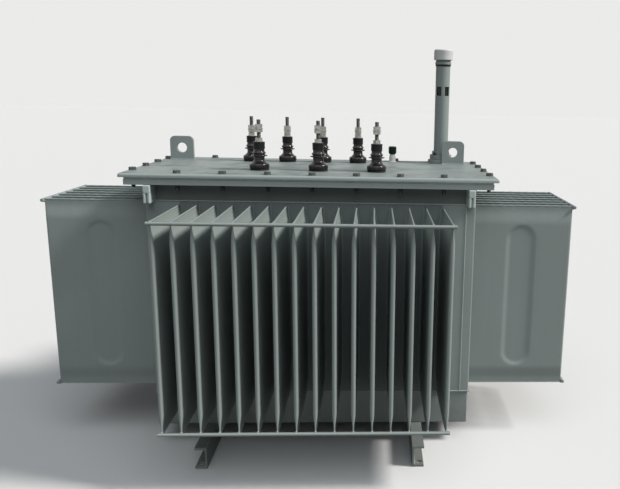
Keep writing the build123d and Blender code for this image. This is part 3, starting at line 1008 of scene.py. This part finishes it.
def row_pieces(name):
    """Gaskets, porcelain, caps, studs and nuts of one row of bushings."""
    sizes = settings("bushings")
    threads = settings("fasteners")
    places, seat, top = bushing_row(name)
    height = top - seat
    stud_top = node_box(f"{name}_terminals")[1][2]
    at_seat = [(x, y, seat) for x, y in places]
    at_top = [(x, y, top) for x, y in places]
    turns = [0.9 * i + 0.35 for i in range(len(places))]

    gasket = turned(rounded_disc(sizes.foot / 2 - 1 * MM, 0, sizes.gasket, 1 * MM))
    gasket.row(at_seat).piece(f"{name}_bushing_gaskets", "gasket_rubber")
    body = turned(porcelain_profile(height), segments=72)
    body.row(at_seat).piece(
        f"{name}_porcelain", "glazed_porcelain", (f"{name}_insulators",), 50.0)
    cap = turned(cap_profile(sizes.cap_height))
    cap.row(at_top).piece(f"{name}_bushing_caps", "cap_moulding")

    stud_foot = sizes.cap_height - 2 * MM
    stud = threaded(
        sizes.stud, stud_foot, stud_top - top, threads.thread_pitch, threads.thread_depth)
    stud.row(at_top, turns).piece(f"{name}_threaded_studs", "bare_thread", smooth=50.0)
    plate = washer(25 * MM, PLATE_WASHER)
    spring = washer(21 * MM, 2.2 * MM)
    hexagon_nut = nut(sizes.nut_width, sizes.nut_height)
    cap_top = sizes.cap_height - 0.8 * MM
    clamp = CLAMP_LEVELS[name]
    stack = [
        (plate, 0.0), (hexagon_nut, PLATE_WASHER), (hexagon_nut, clamp),
        (plate, clamp + 9.5 * MM), (spring, clamp + 11.9 * MM), (hexagon_nut, clamp + 14.1 * MM),
    ]
    metal = Shell()
    for i, (piece, level) in enumerate(stack):
        spots = [(x, y, top + cap_top + level) for x, y in places]
        metal.copies(piece, spots, [turn + 0.7 * i for turn in turns])
    metal.piece(f"{name}_nuts_and_washers", "zinc_plate", (f"{name}_terminals",), 30.0)


def make_bushings():
    """Make both rows of bushings with their gaskets, caps, threaded studs and nuts."""
    for name in ("front", "back"):
        row_pieces(name)


# Filler pipe and thermometer pocket

def middle_of(name):
    """Upright axis of a round node, with its lowest and highest level and its radius."""
    low, high = node_box(name)
    centre = (low + high) / 2
    return centre[0], centre[1], low[2], high[2], (high[0] - low[0]) / 2


def between(profile, low, high):
    """1 for the rows of a profile whose height is between two levels, and 0 for the others."""
    return ((profile[:, 1] > low) & (profile[:, 1] < high)).astype(float)[:, None]


def filler_flange_pieces():
    """Lower flange with its gasket line, and the four bolts that hold the pipe's own flange."""
    x, y, low, high, radius = middle_of("filler_flange")
    lower = turned(rounded_disc(radius, low, high - low - 0.8 * MM, 1.2 * MM), (x, y, 0), 72)
    # Painted light: the lower flange takes the rim's lightened paint, for the bright ring of its
    # lit top.
    lower.piece("filler_lower_flange", "rim_light_paint", ("filler_flange",))
    seal = turned(rounded_disc(radius - 2 * MM, high - 1.2 * MM, 1.2 * MM, 0.3 * MM), (x, y, 0), 48)
    seal.piece("filler_flange_seal", "gasket_rubber")
    weld = Shell()
    angle = np.linspace(0, TURN, 73)
    ring = np.stack([x + radius * np.cos(angle), y + radius * np.sin(angle),
                     np.full(73, low + 1 * MM)], axis=1)
    weld.copies(tube(ring, 2.2 * MM, 8, 0.12, 11 * MM))
    weld.piece("filler_foot_weld", "grey_paint", smooth=80.0)


def filler_bolts():
    """Four bolts round the pipe's flange, each a head, a washer and an end."""
    x, y, _, flange_top, _ = middle_of("filler_flange")
    face = flange_top + 14 * MM
    circle = 30.5 * MM
    angles = [math.radians(45 + 90 * i) for i in range(4)]
    spots = [(x + circle * math.cos(a), y + circle * math.sin(a)) for a in angles]
    shell = Shell()
    shell.copies(washer(13 * MM, 1.4 * MM), [(*spot, face) for spot in spots])
    shell.copies(nut(11 * MM, 6 * MM), [(*spot, face + 1.4 * MM) for spot in spots], angles)
    shell.copies(threaded(7 * MM, 0, 4.5 * MM, 1.1 * MM, 0.5 * MM, 16),
                 [(*spot, face + 7.2 * MM) for spot in spots])
    shell.piece("filler_flange_bolts", "black_bolt", smooth=30.0)


def filler_head_pieces():
    """Seal ring, ribbed neck and moulded cap at the top of the pipe."""
    x, y, low, high, radius = middle_of("filler_seal_ring")
    seal = turned(rounded_disc(radius, low, high - low, 1.6 * MM), (x, y, 0), 64)
    seal.piece("filler_top_seal", "gasket_rubber", ("filler_seal_ring",), slot="black_cap")
    x, y, low, high, radius = middle_of("filler_neck")
    height = high - low
    profile = np.concatenate([
        arc((radius - 1.5 * MM, low + 1.5 * MM), 1.5 * MM, -90, 0, 4),
        [(radius, low + height * 0.55), (radius - 2.2 * MM, low + height * 0.62)],
        [(radius - 2.2 * MM, high)],
    ])
    neck = turned(profile, (x, y, 0), 64)
    neck.piece("filler_screwed_neck", "grey_paint", ("filler_neck",))
    x, y, low, high, radius = middle_of("filler_cap")
    profile = np.concatenate([
        [(radius - 6 * MM, low), (radius - 1.5 * MM, low), (radius - 0.4 * MM, low + 1.2 * MM)],
        [(radius - 0.4 * MM, low + 4 * MM)],
        [(radius - 0.2 * MM, low + 5 * MM), (radius - 0.2 * MM, high - 9 * MM)],
        [(radius - 0.4 * MM, high - 8 * MM)],
        arc((radius - 5 * MM, high - 5 * MM), 4.6 * MM, 10, 90, 7),
        [(radius * 0.4, high - 0.2 * MM)],
    ])
    ribs = between(profile, low + 4.5 * MM, high - 8.5 * MM)
    rib = 0.35 * MM
    wave = rib * np.clip(np.cos(round_angles(144) * 36), -0.2, 1)
    reach = profile[:, :1] - ribs * (rib - wave)
    cap = revolved(reach, profile[:, 1:], (x, y, 0))
    cap.piece("filler_moulded_cap", "white_moulding", ("filler_cap",), 40.0)


def make_filler():
    """Finish the filler pipe, with its flanges, bolts, windows, neck and cap."""
    softened("filler_pipe", 0.7 * MM, "grey_paint")
    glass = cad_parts["filler_level_glass"]
    glass.data.materials.clear()
    glass.data.materials.append(finish("oily_glass"))
    filler_flange_pieces()
    filler_bolts()
    filler_head_pieces()


def make_thermometer():
    """Make the thermometer pocket and its knob."""
    x, y, low, high, radius = middle_of("thermometer_pocket")
    profile = np.concatenate([
        [(radius + 3 * MM, low), (radius + 3 * MM, low + 2 * MM), (radius, low + 3 * MM)],
        [(radius, high - 8 * MM), (radius - 1.5 * MM, high - 7 * MM), (radius - 1.5 * MM, high)],
    ])
    stem = turned(profile, (x, y, 0), 48)
    stem.piece("thermometer_stem", "white_moulding", ("thermometer_pocket",), slot="grey_enamel")
    x, y, low, high, radius = middle_of("thermometer_knob")
    profile = np.concatenate([
        [(radius - 4 * MM, low), (radius - 0.5 * MM, low + 4 * MM)],
        [(radius, low + 5 * MM), (radius, high - 5 * MM)],
        arc((radius - 4 * MM, high - 4 * MM), 4 * MM, 0, 90, 6),
        [(radius * 0.3, high)],
    ])
    grip = between(profile, low + 4.5 * MM, high - 4.5 * MM)
    reach = profile[:, :1] - grip * 0.7 * MM * (0.5 - 0.5 * np.cos(round_angles(96) * 24))
    knob = revolved(reach, profile[:, 1:], (x, y, 0))
    knob.piece("thermometer_grip", "knob_moulding", ("thermometer_knob",), 40.0)


# Stage

def backdrop_rays(board):
    """1 for the rays that show the pale background: those of the camera, of gloss and of glass."""
    rays = board.tree.nodes.new("ShaderNodeLightPath").outputs
    camera_ray, gloss, glass = [
        Wire(board, rays[f"Is {kind} Ray"]) for kind in ("Camera", "Glossy", "Transmission")]
    return board.math("MAXIMUM", board.math("MAXIMUM", camera_ray, gloss), glass)


def pale_floor():
    """Floor that looks pale to the camera and throws little light back on the object."""
    board = Finish("pale_floor")
    pale = rgba(settings("stage").floor)
    colour = board.mix(backdrop_rays(board), (0.12, 0.12, 0.115, 1), pale)
    return board.shine(Base_Color=colour, Roughness=0.9)


def sky():
    """World light: bright overhead, dim at the horizon, pale behind the object."""
    world = bpy.data.worlds.new("Studio")
    world.use_nodes = True
    board = Board(world.node_tree)
    board.tree.nodes.clear()
    place = board.node("ShaderNodeTexCoord", output="Generated")
    rise = board.node("ShaderNodeSeparateXYZ", inputs={"Vector": place}, output="Z")
    limits = {"From Min": -0.05, "From Max": 0.9, "To Min": 0.045, "To Max": 0.15}
    strength = board.node("ShaderNodeMapRange", inputs={"Value": rise, **limits}, output="Result")
    colours = {"Color": (0.90, 0.96, 1.0, 1), "Strength": strength}
    light = board.node("ShaderNodeBackground", inputs=colours)
    pale = board.node("ShaderNodeBackground", inputs={"Color": (0.83, 0.83, 0.82, 1)})
    both = board.node("ShaderNodeMixShader", inputs={0: backdrop_rays(board), 1: light, 2: pale})
    out = board.tree.nodes.new("ShaderNodeOutputWorld")
    board.feed(out.inputs["Surface"], both)
    bpy.context.scene.world = world


def sun(name, direction, energy, spread, colour):
    """Soft sun lamp shining along a direction."""
    lamp = bpy.data.lights.new(name, "SUN")
    lamp.energy = energy
    lamp.angle = math.radians(spread)
    lamp.color = colour
    holder = bpy.data.objects.new(name, lamp)
    bpy.context.scene.collection.objects.link(holder)
    x, y, z = direction
    across = math.hypot(x, y)
    holder.rotation_euler = (math.atan2(across, -z), 0, math.atan2(y, x) + math.pi / 2 + math.pi)
    return holder


def camera():
    """Camera at the photograph's view: pixels become lens and shift."""
    look = settings("stage")
    data = bpy.data.cameras.new("Camera")
    data.sensor_fit = "HORIZONTAL"
    data.sensor_width = SENSOR_WIDTH
    data.lens = look.focal / IMAGE_WIDTH * SENSOR_WIDTH
    data.shift_x = (IMAGE_WIDTH / 2 - look.centre_x) / IMAGE_WIDTH
    data.shift_y = (look.centre_y - IMAGE_HEIGHT / 2) / IMAGE_WIDTH
    data.clip_start = 0.05
    data.clip_end = 100
    eye = bpy.data.objects.new("Camera", data)
    bpy.context.scene.collection.objects.link(eye)
    upright = Matrix.Rotation(math.pi / 2, 4, "X")
    turn = (Matrix.Rotation(look.yaw, 4, "Z") @ Matrix.Rotation(look.pitch, 4, "X")
            @ Matrix.Rotation(look.roll, 4, "Y"))
    eye.matrix_world = Matrix.Translation(look.stand) @ turn @ upright
    bpy.context.scene.camera = eye


def make_stage():
    """Make the floor, the soft lamps and the camera."""
    half = 40.0
    corners = [(-half, -half, 0), (half, -half, 0), (half, half, 0), (-half, half, 0)]
    mesh = bpy.data.meshes.new("floor")
    mesh.from_pydata(corners, [], [(0, 1, 2, 3)])
    mesh.materials.append(pale_floor())
    floor = bpy.data.objects.new("floor", mesh)
    bpy.context.scene.collection.objects.link(floor)
    sky()
    sun("key_lamp", (-0.70, 0.11, -0.70), 3.75, 13.0, (1.0, 0.985, 0.94))
    sun("sky_lamp", (-0.05, 0.56, -0.83), 1.38, 60.0, (0.90, 0.97, 1.0))
    camera()
    bpy.context.scene.view_settings.view_transform = "Standard"


# Panel and registration

def operator(name, label, make):
    """Operator that runs a maker, described by the maker's own words."""
    def execute(self, context):
        make()
        return {"FINISHED"}

    fields = {"bl_idname": f"transformer.{name}", "bl_label": label, "__doc__": make.__doc__[:-1],
              "execute": execute}
    return type(f"TRANSFORMER_OT_{name}", (bpy.types.Operator,), fields)


OPERATORS = (
    operator("finned_walls", "Finned Walls", make_finned_walls),
    operator("tank", "Tank And Cover", make_tank),
    operator("cover_bolts", "Cover Bolts", make_cover_bolts),
    operator("bushings", "Bushings", make_bushings),
    operator("filler", "Filler Pipe", make_filler),
    operator("thermometer", "Thermometer Pocket", make_thermometer),
    operator("stage", "Stage", make_stage),
)
GROUPS = {
    "fins": FinSettings,
    "fasteners": FastenerSettings,
    "bushings": BushingSettings,
    "finish": FinishSettings,
    "stage": StageSettings,
}


class TRANSFORMER_PT_pieces(bpy.types.Panel):
    """Lists the operators that make the pieces"""

    bl_label = "Transformer"
    bl_idname = "TRANSFORMER_PT_pieces"
    bl_space_type = "VIEW_3D"
    bl_region_type = "UI"
    bl_category = "Transformer"

    def draw(self, context):
        for operator in OPERATORS:
            self.layout.operator(operator.bl_idname)


def register():
    """Register the classes and put the settings on the scene."""
    for group in GROUPS.values():
        bpy.utils.register_class(group)
    for name, group in GROUPS.items():
        setattr(bpy.types.Scene, f"transformer_{name}", PointerProperty(type=group))
    for operator in OPERATORS:
        bpy.utils.register_class(operator)
    bpy.utils.register_class(TRANSFORMER_PT_pieces)


def unregister():
    """Take the settings off the scene and unregister the classes."""
    bpy.utils.unregister_class(TRANSFORMER_PT_pieces)
    for operator in reversed(OPERATORS):
        bpy.utils.unregister_class(operator)
    for name in GROUPS:
        delattr(bpy.types.Scene, f"transformer_{name}")
    for group in reversed(GROUPS.values()):
        bpy.utils.unregister_class(group)


def main():
    """Make every piece, then write the boxes of the frame and of the finished object."""
    register()
    for operator in OPERATORS:
        group, _, name = operator.bl_idname.partition(".")
        getattr(getattr(bpy.ops, group), name)()


if __name__ == "__main__":
    main()
